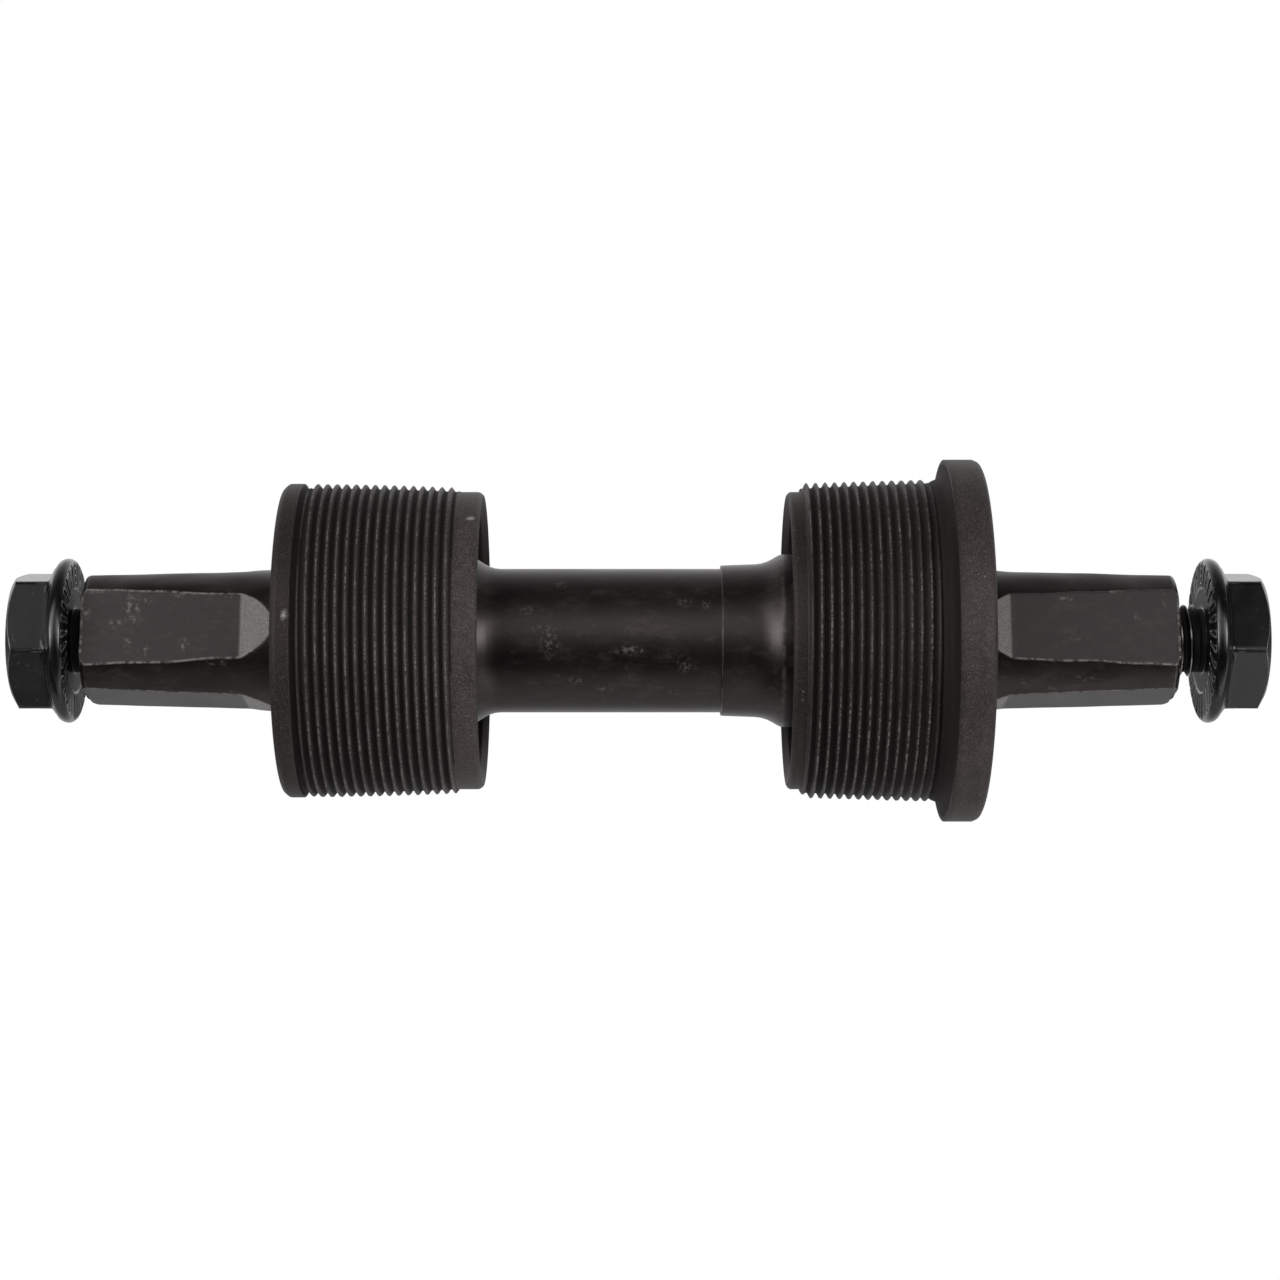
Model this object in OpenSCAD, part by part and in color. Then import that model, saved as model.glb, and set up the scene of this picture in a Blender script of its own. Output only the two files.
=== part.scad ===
// Square-taper bottom bracket: two threaded cups, two cartridge bearings,
// a forged spindle and a flanged hex bolt in each end of it. Millimetres.
// +X runs along the spindle to the drive side and +Z is up.
// The origin is the middle of the frame shell, on the spindle's axis.

/* [Frame shell] */
// Width of the frame shell between its two end faces
shell_w = 73; // [70:0.5:76]

/* [Cup threads] */
// Diameter over the left cup's thread crests and rim
left_thread_od = 34.5; // [34.2:0.05:34.8]
// Diameter over the drive cup's thread crests
drive_thread_od = 35; // [34.6:0.05:35.2]
// Thread pitch, 24 turns to the inch
thread_pitch = 1.058; // [1:0.002:1.1]
// Radial depth from crest to root
thread_depth = 0.55; // [0.4:0.05:0.6]
// Width of the flat on each crest
thread_crest = 0.14; // [0.1:0.02:0.2]

/* [Left cup] */
// Length of the left cup from its outer face to its inner end
left_cup_len = 21.7; // [20.5:0.1:23]
// How far the left cup's outer face sits inside the shell's face
left_cup_recess = 0.7; // [0:0.1:1.5]
// Width of the plain rim at the outer face
left_rim_w = 2.1; // [1.5:0.1:3]
// Width of the plain band at the inner end
left_band_w = 2.6; // [1.5:0.1:4]
// Depth of the tool socket in the left cup
left_socket_depth = 5.8; // [5:0.1:7]

/* [Drive cup] */
// Length of the drive cup that enters the shell
drive_cup_len = 17.3; // [16:0.1:18.5]
// Diameter of the flange
flange_d = 39.8; // [38:0.1:42]
// Thickness of the flange
flange_w = 3.8; // [3:0.1:5]
// Radius on the flange's outer edge
flange_edge_r = 0.9; // [0.3:0.1:1.2]
// Width of the plain neck, as thick as the crests, between the thread and the flange
neck_w = 1.4; // [0.6:0.1:2]
// Width of the plain band at the inner end
drive_band_w = 1.5; // [1:0.1:3]
// Depth of the tool socket in the drive cup
drive_socket_depth = 10.3; // [9:0.1:11]

/* [Both cups] */
// Diameter of the plain band at each inner end
band_d = 32.7; // [32.2:0.1:33]
// Chamfer on the outer edges of the cups
cup_edge = 0.5; // [0.2:0.1:0.6]
// Lead-in chamfer at the mouth of the bearing bore
lead_in = 0.7; // [0.3:0.1:0.8]
// Radial clearance of the bearing in its cup
bearing_slip = 0.03; // [0.02:0.01:0.08]
// Thickness of the shoulder that the bearing rests on
shoulder_w = 2; // [1.5:0.1:3]
// Diameter of the opening through that shoulder
shoulder_hole_d = 27; // [26:0.1:27.6]
// Number of grooves in the tool socket
spline_count = 20; // [16:1:24]
// Diameter across the tips of the teeth between the grooves
spline_tip_d = 29.8; // [29.4:0.1:30.2]
// Diameter across the bottoms of the grooves
spline_root_d = 31.9; // [31.4:0.1:32]
// Width of a groove
spline_groove_w = 2.4; // [1.8:0.1:2.8]

/* [Bearings] */
// Bore of the bearing
bearing_bore = 17; // [16.6:0.1:17.4]
// Outside diameter of the bearing
bearing_od = 30; // [29.8:0.1:30.4]
// Width of the bearing
bearing_w = 7; // [6.6:0.1:7.4]
// Diameter of one ball
ball_d = 3.97; // [3.8:0.01:4.1]
// Number of balls
ball_count = 11; // [9:1:12]
// Running clearance between a ball and its grooves
ball_play = 0.05; // [0.02:0.01:0.08]
// Depth of the groove that the balls run in, in each race
groove_depth = 0.46; // [0.3:0.02:0.6]
// Depth of the seal's seat from the race's face
seal_depth = 0.75; // [0.7:0.05:0.9]
// Thickness of a seal
seal_t = 0.55; // [0.4:0.05:0.6]
// How far the seal snaps into the step in the outer race
seal_snap = 0.55; // [0.4:0.05:0.6]
// How far the seal's lip reaches into the step in the inner race
seal_lip = 0.45; // [0.3:0.05:0.5]
// Running clearance between the seal's lip and the inner race
seal_play = 0.1; // [0.05:0.01:0.1]

/* [Ball cage] */
// Thickness of the cage strip
cage_t = 0.25; // [0.2:0.01:0.3]
// Width of the cage strip
cage_w = 2; // [1.6:0.1:2.2]
// Clearance between a ball and its pocket
pocket_play = 0.06; // [0.04:0.01:0.1]
// Diameter of a rivet's shank
rivet_d = 0.7; // [0.5:0.05:0.8]
// Diameter of a rivet's head
rivet_head_d = 1.2; // [0.9:0.05:1.3]
// Height of a rivet's head
rivet_head_h = 0.2; // [0.1:0.02:0.3]

/* [Spindle] */
// Overall length of the spindle
spindle_len = 119; // [117:0.5:123]
// How far the spindle's middle lies towards the drive side
spindle_shift = 2; // [0:0.1:3]
// Diameter of the middle of the spindle
shaft_d = 15.8; // [15.2:0.1:16.2]
// Diameter of the thicker stretch at its start
step_d = 16.55; // [16.3:0.05:16.8]
// Diameter of the thicker stretch where its flare starts
step_end_d = 16.9; // [16.8:0.05:17.2]
// Length of the thicker stretch and its flare
step_len = 6.7; // [5:0.1:8]
// Diameter of the shoulders that hold the inner races
shoulder_d = 19; // [18.6:0.1:19.4]
// Width of the left shoulder
left_shoulder_w = 5.3; // [4:0.1:6]
// Width of the drive-side shoulder
drive_shoulder_w = 2.4; // [1.5:0.1:3]
// Radius of the left flare
left_flare_r = 4.1; // [3:0.1:5]
// Radius of the drive-side flare
drive_flare_r = 2.3; // [2:0.1:3]
// How far each bearing seat runs on past its bearing
seat_overhang = 1.2; // [0.6:0.1:2]
// Diameter of the round stock at the inner end of each taper
stub_d = 15.6; // [15.3:0.1:15.8]
// Diameter of the round stock at the tip of each taper
stub_end_d = 15.2; // [15:0.1:15.3]
// Diameter of the flat end face
end_face_d = 14.2; // [13.6:0.1:14.6]
// Length of the chamfer at each end
end_chamfer_len = 0.5; // [0.3:0.1:1]

/* [Square tapers] */
// Width across the flats at the tip
square_af = 12.6; // [12.4:0.05:12.8]
// Angle of each flat to the axis
taper_angle = 2; // [1.8:0.05:2.2]
// Length of the flats
flat_len = 17.5; // [16:0.1:18.5]
// Length of the ramp from the flats out to the round stock
ramp_len = 3.4; // [2.5:0.1:4]
// Turn of the squares about the axis
square_turn = 13.5; // [0:0.5:45]

/* [Crank bolts] */
// Width across the flats of the head
hex_af = 14; // [13.5:0.1:14.2]
// Height of the whole head above its bearing face
head_h = 6.5; // [5.5:0.1:7]
// Diameter of the flange under the head
bolt_flange_d = 18.1; // [17.4:0.1:18.6]
// Height of that flange where it meets the hexagon
bolt_flange_h = 2.3; // [1.8:0.1:2.5]
// Diameter of the circle left flat on top of the head
head_top_d = 13.2; // [12.4:0.1:13.6]
// Outside diameter of the bolt's thread
bolt_d = 7.9; // [7.7:0.05:7.95]
// Pitch of the bolt's thread
bolt_pitch = 1; // [0.9:0.05:1.25]
// Depth of the bolt's thread
bolt_thread_depth = 0.5; // [0.3:0.05:0.6]
// Length of the shank below the bearing face
bolt_len = 18; // [16:0.5:20]
// Radial clearance of the bolt in the spindle's hole
bolt_play = 0.07; // [0.04:0.01:0.1]
// Depth of the hole in each end of the spindle
hole_depth = 22; // [20:0.5:26]
// Gap between the left bolt's bearing face and the spindle's end
left_bolt_gap = 1.5; // [0.5:0.1:3]
// Gap between the drive bolt's bearing face and the spindle's end
drive_bolt_gap = 3.3; // [0.5:0.1:4]
// Number of slots in the bearing face
serration_count = 32; // [24:1:36]
// Width of a slot
serration_w = 0.4; // [0.3:0.05:0.5]
// Depth of a slot
serration_depth = 0.35; // [0.2:0.05:0.5]
// Diameter where the slots start
serration_start_d = 11.8; // [11:0.1:12.5]
// Slant of a slot from the radius
serration_slant = 22; // [0:1:30]
// Turn of the hexagons about the axis
hex_turn = 7; // [0:1:60]

/* [Hidden] */
$fn = 64;

// Finishes
cup_black = [0.12, 0.115, 0.11];
oxide_black = [0.2, 0.195, 0.19];
bolt_black = [0.16, 0.16, 0.17];
race_steel = [0.62, 0.63, 0.65];
seal_black = [0.08, 0.08, 0.085];

// Overshoot of every cutter past the faces it opens
over = 1;
// Half angle of a thread flank
flank_angle = 30;
// Slope of the chamfer round the top of a bolt's head
head_chamfer = 30;
// Steps in a rounded stretch of an outline
arc_steps = 6;
// Side of the axis that each bearing lies on
left_side = -1;
drive_side = 1;

// Places along the axis
drive_face_in = shell_w / 2;
drive_face_out = drive_face_in + flange_w;
drive_cup_end = drive_face_in - drive_cup_len;
drive_bearing_out = drive_face_out - drive_socket_depth - shoulder_w;
drive_bearing_in = drive_bearing_out - bearing_w;
left_face_out = -shell_w / 2 + left_cup_recess;
left_cup_end = left_face_out + left_cup_len;
left_bearing_out = left_face_out + left_socket_depth + shoulder_w;
left_bearing_in = left_bearing_out + bearing_w;
spindle_left = spindle_shift - spindle_len / 2;
spindle_right = spindle_shift + spindle_len / 2;

// Radii
left_thread_r = left_thread_od / 2;
left_root_r = left_thread_r - thread_depth;
drive_thread_r = drive_thread_od / 2;
drive_root_r = drive_thread_r - thread_depth;
band_r = band_d / 2;
bore_r = bearing_od / 2 + bearing_slip;
seat_r = bearing_bore / 2;
shaft_r = shaft_d / 2;
shoulder_r = shoulder_d / 2;
bolt_r = bolt_d / 2;
hole_r = bolt_r + bolt_play;
ball_r = ball_d / 2;
ball_circle_r = (bearing_bore + bearing_od) / 4;
inner_shoulder_r = ball_circle_r - ball_r + groove_depth;
outer_shoulder_r = ball_circle_r + ball_r - groove_depth;
seal_hole_r = inner_shoulder_r - seal_lip;
seal_r = outer_shoulder_r + seal_snap;
seal_seat_x = bearing_w / 2 - seal_depth;

// Turn a shape that stands on Z so that it lies along X
module along_x() rotate([0, 90, 0]) children();

// Solid of revolution about X from points [radius, place along X]
module turned(points) along_x() rotate_extrude() polygon(points);

// Ring about X between two places
module ring(inner_r, outer_r, from_x, to_x)
  turned([[inner_r, from_x], [outer_r, from_x], [outer_r, to_x], [inner_r, to_x]]);

// Round bar about X between two places
module bar(r, from_x, to_x)
  translate([from_x, 0, 0]) along_x() cylinder(r = r, h = to_x - from_x);

// Points on a quarter or less of a circle in the plane of [radius, x]
function arc(centre, r, from_a, to_a) = [
  for (i = [0:arc_steps])
    let (a = from_a + (to_a - from_a) * i / arc_steps)
    centre + r * [cos(a), sin(a)]
];

// Outline of a run of thread: the crests that fit whole between two places
function thread_outline(from_x, to_x, crest_r, depth, pitch, crest_w) =
  let (flank = depth * tan(flank_angle), turns = floor((to_x - from_x) / pitch))
  let (start = (from_x + to_x - turns * pitch) / 2 + (pitch - crest_w) / 2 - flank)
  let (root_r = crest_r - depth)
  let (turn = [[root_r, 0], [crest_r, flank], [crest_r, flank + crest_w], [root_r, 2 * flank + crest_w]])
  [
    for (i = [0:turns - 1], point = turn)
      point + [0, start + i * pitch]
  ];

// ---- Cups ----

// Outline of the tool socket in the plane of [y, z]: a groove, then the tip of a tooth, all round
function socket_outline() =
  let (half_w = spline_groove_w / 2, step = 360 / spline_count)
  let (tip = sqrt(pow(spline_tip_d / 2, 2) - half_w * half_w))
  let (root = sqrt(pow(spline_root_d / 2, 2) - half_w * half_w))
  let (groove = [[tip, -half_w], [root, -half_w], [root, half_w], [tip, half_w]])
  [
    for (i = [0:spline_count - 1], p = groove)
      let (a = (i + 0.5) * step)
      [p[0] * cos(a) - p[1] * sin(a), p[0] * sin(a) + p[1] * cos(a)]
  ];

// Socket for the splined fitting tool, from the shoulder's face out through the cup's face
module tool_socket(depth)
  translate([-depth, 0, 0])
    along_x() linear_extrude(height = depth + over) polygon(socket_outline());

// All that is cut from inside a cup whose outer face is at 0 and whose bearing lies towards -X
module cup_inside(socket_depth, cup_len) {
  bearing_face = -socket_depth - shoulder_w;
  tool_socket(socket_depth);
  bar(shoulder_hole_d / 2, bearing_face - over, -socket_depth + over);
  bar(bore_r, -cup_len - over, bearing_face);
  turned([[0, -cup_len - over], [bore_r + lead_in + over, -cup_len - over],
          [bore_r, -cup_len + lead_in], [0, -cup_len + lead_in]]);
}

module left_cup() color(cup_black)
  difference() {
    turned(concat(
      [[0, left_face_out], [left_thread_r - cup_edge, left_face_out],
       [left_thread_r, left_face_out + cup_edge], [left_thread_r, left_face_out + left_rim_w],
       [left_root_r, left_face_out + left_rim_w]],
      thread_outline(left_face_out + left_rim_w, left_cup_end - left_band_w,
                     left_thread_r, thread_depth, thread_pitch, thread_crest),
      [[left_root_r, left_cup_end - left_band_w], [band_r, left_cup_end - left_band_w],
       [band_r, left_cup_end - cup_edge / 2], [band_r - cup_edge / 2, left_cup_end], [0, left_cup_end]]
    ));
    translate([left_face_out, 0, 0])
      mirror([1, 0, 0])
        cup_inside(left_socket_depth, left_cup_len);
  }

module drive_cup() color(cup_black)
  difference() {
    turned(concat(
      [[0, drive_cup_end], [band_r - cup_edge / 2, drive_cup_end], [band_r, drive_cup_end + cup_edge / 2],
       [band_r, drive_cup_end + drive_band_w], [drive_root_r, drive_cup_end + drive_band_w]],
      thread_outline(drive_cup_end + drive_band_w, drive_face_in - neck_w,
                     drive_thread_r, thread_depth, thread_pitch, thread_crest),
      [[drive_root_r, drive_face_in - neck_w], [drive_thread_r, drive_face_in - neck_w],
       [drive_thread_r, drive_face_in], [flange_d / 2, drive_face_in]],
      arc([flange_d / 2 - flange_edge_r, drive_face_out - flange_edge_r], flange_edge_r, 0, 90),
      [[0, drive_face_out]]
    ));
    translate([drive_face_out, 0, 0])
      cup_inside(drive_socket_depth, flange_w + drive_cup_len);
  }

// ---- Bearings ----
// Each is drawn about the origin with its outboard side at +X

// Move a bearing's piece to its side of the bracket, outboard side outwards
module at_bearing(side)
  if (side == left_side)
    translate([(left_bearing_in + left_bearing_out) / 2, 0, 0]) mirror([1, 0, 0]) children();
  else
    translate([(drive_bearing_in + drive_bearing_out) / 2, 0, 0]) children();

// Groove that the balls run in
module ball_groove()
  along_x() rotate_extrude() translate([ball_circle_r, 0]) circle(r = ball_r + ball_play);

module inner_race() color(race_steel)
  difference() {
    ring(seat_r, inner_shoulder_r, -bearing_w / 2, bearing_w / 2);
    ball_groove();
    for (side = [left_side, drive_side])
      ring(seal_hole_r - seal_play, inner_shoulder_r + over,
           min(side * (seal_seat_x - seal_play), side * bearing_w),
           max(side * (seal_seat_x - seal_play), side * bearing_w));
  }

module outer_race() color(race_steel)
  difference() {
    ring(outer_shoulder_r, bearing_od / 2, -bearing_w / 2, bearing_w / 2);
    ball_groove();
    for (side = [left_side, drive_side])
      bar(seal_r, min(side * seal_seat_x, side * bearing_w), max(side * seal_seat_x, side * bearing_w));
  }

module balls() color(race_steel)
  for (i = [0:ball_count - 1])
    rotate([i * 360 / ball_count, 0, 0]) translate([0, 0, ball_circle_r]) sphere(r = ball_r);

// Half of the cage: a strip with a domed pocket over each ball, on one side of the balls
module cage_half(side) color(race_steel)
  mirror([side == left_side ? 0 : 1, 0, 0])
    difference() {
      intersection() {
        ring(ball_circle_r - cage_w / 2, ball_circle_r + cage_w / 2, -ball_d, 0);
        union() {
          bar(bearing_od, -cage_t, 0);
          for (i = [0:ball_count - 1])
            rotate([i * 360 / ball_count, 0, 0])
              translate([0, 0, ball_circle_r]) sphere(r = ball_r + pocket_play + cage_t);
        }
      }
      for (i = [0:ball_count - 1]) {
        rotate([i * 360 / ball_count, 0, 0])
          translate([0, 0, ball_circle_r]) sphere(r = ball_r + pocket_play);
        rotate([(i + 0.5) * 360 / ball_count, 0, 0])
          translate([0, 0, ball_circle_r]) bar(rivet_d / 2, -ball_d, ball_d);
      }
    }

module rivets() color(race_steel)
  for (i = [0:ball_count - 1])
    rotate([(i + 0.5) * 360 / ball_count, 0, 0])
      translate([0, 0, ball_circle_r]) {
        bar(rivet_d / 2, -cage_t, cage_t);
        bar(rivet_head_d / 2, cage_t, cage_t + rivet_head_h);
        bar(rivet_head_d / 2, -cage_t - rivet_head_h, -cage_t);
      }

// Rubber-faced shield with a moulded channel round its outer face
module seal(side) color(seal_black) {
  channel_depth = seal_t / 4;
  channel_in = seal_hole_r + (seal_r - seal_hole_r) / 4;
  channel_out = seal_r - (seal_r - seal_hole_r) / 4;
  face = seal_seat_x + seal_t;
  mirror([side == left_side ? 1 : 0, 0, 0])
    turned([[seal_hole_r, seal_seat_x], [seal_r, seal_seat_x], [seal_r, face],
            [channel_out, face], [channel_out - channel_depth, face - channel_depth],
            [channel_in + channel_depth, face - channel_depth], [channel_in, face], [seal_hole_r, face]]);
}

module left_inner_race() at_bearing(left_side) inner_race();
module left_outer_race() at_bearing(left_side) outer_race();
module left_balls() at_bearing(left_side) balls();
module left_cage_inboard() at_bearing(left_side) cage_half(-1);
module left_cage_outboard() at_bearing(left_side) cage_half(1);
module left_cage_rivets() at_bearing(left_side) rivets();
module left_inboard_seal() at_bearing(left_side) seal(-1);
module left_outboard_seal() at_bearing(left_side) seal(1);
module drive_inner_race() at_bearing(drive_side) inner_race();
module drive_outer_race() at_bearing(drive_side) outer_race();
module drive_balls() at_bearing(drive_side) balls();
module drive_cage_inboard() at_bearing(drive_side) cage_half(-1);
module drive_cage_outboard() at_bearing(drive_side) cage_half(1);
module drive_cage_rivets() at_bearing(drive_side) rivets();
module drive_inboard_seal() at_bearing(drive_side) seal(-1);
module drive_outboard_seal() at_bearing(drive_side) seal(1);

// ---- Spindle ----

// Everything that is cut from one end of the spindle, whose end face is at 0 and whose body lies at +X
module spindle_end_cuts() {
  tip_half = square_af / 2;
  base_half = tip_half + flat_len * tan(taper_angle);
  ramp_rise = stub_d / 2 - base_half;
  for (quarter = [0:3])
    rotate([quarter * 90 - square_turn, 0, 0])
      rotate([90, 0, 0])
        linear_extrude(height = 2 * stub_d, center = true)
          polygon([[-over, tip_half - over * tan(taper_angle)], [flat_len, base_half],
                   [flat_len + 2 * ramp_len, base_half + 2 * ramp_rise],
                   [flat_len + 2 * ramp_len, stub_d], [-over, stub_d]]);
  // Threaded hole for the crank bolt, with a drilled point and a countersunk mouth
  turned([[0, -over], [hole_r + 2 * over, -over], [hole_r, over], [hole_r, hole_depth],
          [0, hole_depth + hole_r * tan(flank_angle)]]);
}

module spindle() color(oxide_black) {
  left_flare = acos((shaft_r + left_flare_r - shoulder_r) / left_flare_r);
  left_flare_end = left_bearing_in + left_shoulder_w + left_flare_r * sin(left_flare);
  drive_flare = acos((step_end_d / 2 + drive_flare_r - shoulder_r) / drive_flare_r);
  drive_flare_end = drive_bearing_in - drive_shoulder_w - drive_flare_r * sin(drive_flare);
  step_start = drive_bearing_in - drive_shoulder_w - step_len;
  taper_len = flat_len + ramp_len;
  difference() {
    turned(concat(
      [[0, spindle_left], [end_face_d / 2, spindle_left],
       [stub_end_d / 2, spindle_left + end_chamfer_len], [stub_d / 2, spindle_left + taper_len],
       [stub_d / 2, left_bearing_out - seat_overhang - (seat_r - stub_d / 2)],
       [seat_r, left_bearing_out - seat_overhang], [seat_r, left_bearing_in], [shoulder_r, left_bearing_in]],
      arc([shaft_r + left_flare_r, left_flare_end], left_flare_r, 180 + left_flare, 180),
      [[shaft_r, step_start], [step_d / 2, step_start]],
      arc([step_end_d / 2 + drive_flare_r, drive_flare_end], drive_flare_r, 180, 180 - drive_flare),
      [[shoulder_r, drive_bearing_in], [seat_r, drive_bearing_in],
       [seat_r, drive_bearing_out + seat_overhang],
       [stub_d / 2, drive_bearing_out + seat_overhang + (seat_r - stub_d / 2)],
       [stub_d / 2, spindle_right - taper_len], [stub_end_d / 2, spindle_right - end_chamfer_len],
       [end_face_d / 2, spindle_right], [0, spindle_right]]
    ));
    translate([spindle_left, 0, 0]) spindle_end_cuts();
    translate([spindle_right, 0, 0]) mirror([1, 0, 0]) spindle_end_cuts();
  }
}

// ---- Crank bolts ----

// A bolt whose bearing face is at 0, with its head towards +X
module crank_bolt() color(bolt_black) {
  flange_r = bolt_flange_d / 2;
  corner_r = hex_af / 2 / cos(30);
  root_r = bolt_r - bolt_thread_depth;
  chamfer_r = corner_r + over;
  difference() {
    union() {
      // Hexagon, chamfered round its top
      intersection() {
        rotate([hex_turn - 90, 0, 0])
          along_x() cylinder(r = corner_r, h = head_h, $fn = 6);
        turned([[0, 0], [chamfer_r, 0],
                [chamfer_r, head_h - (chamfer_r - head_top_d / 2) * tan(head_chamfer)],
                [head_top_d / 2, head_h], [0, head_h]]);
      }
      // Flange with a rounded rim
      turned(concat(
        [[0, 0]],
        arc([flange_r - bolt_flange_h / 4, bolt_flange_h / 4], bolt_flange_h / 4, -90, 0),
        arc([flange_r - bolt_flange_h / 3, bolt_flange_h / 2], bolt_flange_h / 3, 0, 60),
        [[hex_af / 2, bolt_flange_h], [0, bolt_flange_h]]
      ));
      // Threaded shank
      turned(concat(
        [[0, over], [root_r, over], [root_r, 0]],
        [for (p = thread_outline(0, bolt_len - over, bolt_r, bolt_thread_depth, bolt_pitch, thread_crest))
           [p[0], -p[1]]],
        [[root_r, -bolt_len + over], [root_r - over / 2, -bolt_len], [0, -bolt_len]]
      ));
    }
    // Serrations, and the plain land inside them
    ring(hole_r, serration_start_d / 2, -over, serration_depth / 2);
    for (i = [0:serration_count - 1])
      rotate([i * 360 / serration_count, 0, 0])
        translate([0, 0, serration_start_d / 2])
          rotate([serration_slant, 0, 0])
            translate([-over, -serration_w / 2, 0])
              cube([over + serration_depth, serration_w, bolt_flange_d]);
  }
}

module left_crank_bolt()
  translate([spindle_left - left_bolt_gap, 0, 0]) mirror([1, 0, 0]) crank_bolt();
module drive_crank_bolt()
  translate([spindle_right + drive_bolt_gap, 0, 0]) crank_bolt();

spindle();
left_cup();
drive_cup();
left_crank_bolt();
drive_crank_bolt();
left_inner_race();
left_outer_race();
left_balls();
left_cage_inboard();
left_cage_outboard();
left_cage_rivets();
left_inboard_seal();
left_outboard_seal();
drive_inner_race();
drive_outer_race();
drive_balls();
drive_cage_inboard();
drive_cage_outboard();
drive_cage_rivets();
drive_inboard_seal();
drive_outboard_seal();
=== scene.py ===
# %% [markdown]
# # A square-taper bottom bracket
# The crank axle of a bicycle: a forged spindle turns in two small ball bearings, and each bearing
# sits in a moulded cup that screws into the frame. A flanged bolt in each end holds a crank arm.
# The solids that carry sizes and joints are loaded first and stay as they are. This script makes
# the pieces that are seen: real helical threads, rounded edges, and worn finishes.

# %% Load the frame
import math

import bmesh
import bpy
from mathutils import Matrix, Vector, noise


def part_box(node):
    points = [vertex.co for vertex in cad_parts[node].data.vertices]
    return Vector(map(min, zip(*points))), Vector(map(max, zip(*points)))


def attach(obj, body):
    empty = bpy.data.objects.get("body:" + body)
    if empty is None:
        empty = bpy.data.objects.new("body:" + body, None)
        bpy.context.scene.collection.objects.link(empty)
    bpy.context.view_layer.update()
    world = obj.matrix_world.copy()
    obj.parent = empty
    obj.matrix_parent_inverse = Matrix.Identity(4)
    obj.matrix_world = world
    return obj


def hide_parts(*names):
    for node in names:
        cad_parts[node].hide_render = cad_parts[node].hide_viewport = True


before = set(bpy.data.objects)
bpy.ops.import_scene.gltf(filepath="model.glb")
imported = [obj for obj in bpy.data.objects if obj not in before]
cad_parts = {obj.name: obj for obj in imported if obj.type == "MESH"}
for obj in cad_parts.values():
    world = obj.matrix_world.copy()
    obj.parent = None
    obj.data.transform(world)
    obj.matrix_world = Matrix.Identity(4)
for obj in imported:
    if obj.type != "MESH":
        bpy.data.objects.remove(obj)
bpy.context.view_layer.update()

MM = 0.001  # one millimetre in metres


def ends(node):
    """The places along the axis, in millimetres, where a solid starts and stops."""
    low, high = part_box(node)
    return low[0] / MM, high[0] / MM


def reach(node):
    """The largest radius of a solid about the axis, in millimetres."""
    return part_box(node)[1][2] / MM


# %% [markdown]
# ## Camera and light
# The bracket is seen square from the front, from about a third of a metre, so the inner faces
# of the cups and bolt flanges just show. A backdrop, a ceiling and a floor could each be lit by
# a lamp, but large dark pieces are mostly lit by what they mirror. So the world itself is the
# softbox, dim towards the viewer and bright underneath and behind, and only one weak lamp
# stands above the camera.

# %% Camera
VIEW_DISTANCE = 337  # millimetres from the axis to the lens
VIEW_ASIDE = 2.64  # how far the lens stands towards the drive side

scene = bpy.context.scene
camera = bpy.data.objects.new("camera", bpy.data.cameras.new("camera"))
camera.location = (VIEW_ASIDE * MM, -VIEW_DISTANCE * MM, 0)
camera.rotation_euler = (math.radians(90), 0, 0)
camera.data.sensor_width = 36
camera.data.lens = 86.06
camera.data.shift_x = 0.003125
camera.data.shift_y = 0.0005
camera.data.clip_start = 0.01
scene.collection.objects.link(camera)
scene.camera = camera
scene.view_settings.view_transform = "Standard"
print("lens", round(camera.data.lens, 2), "mm, seen from", VIEW_DISTANCE, "mm")


# %% [markdown]
# ## Shader maths as expressions
# Node trees get long when every sum is wired by hand. A `Signal` wraps one output socket and
# takes part in ordinary sums, and `Finish.node` adds any other node.

# %% A socket that takes part in sums
class Signal:
    """One socket's value, which can be used in sums."""

    def __init__(self, finish, socket):
        self.finish = finish
        self.socket = socket

    def math(self, operation, first, second=0.0, clamp=False):
        """One Math node on two values."""
        settings = {"operation": operation, "use_clamp": clamp}
        return self.finish.node("Math", settings, {0: first, 1: second})

    def __add__(self, other):
        return self.math("ADD", self, other)

    __radd__ = __add__

    def __sub__(self, other):
        return self.math("SUBTRACT", self, other)

    def __rsub__(self, other):
        return self.math("SUBTRACT", other, self)

    def __mul__(self, other):
        return self.math("MULTIPLY", self, other)

    __rmul__ = __mul__

    def __pow__(self, other):
        return self.math("POWER", self, other)

    def clamped(self):
        return self.math("ADD", self, 0.0, clamp=True)

    def between(self, low, high, to_low=0.0, to_high=1.0):
        """A soft step: to_low below low, to_high above high."""
        settings = {"interpolation_type": "SMOOTHSTEP"}
        sockets = {"Value": self, "From Min": low, "From Max": high,
                   "To Min": to_low, "To Max": to_high}
        return self.finish.node("MapRange", settings, sockets)


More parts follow.
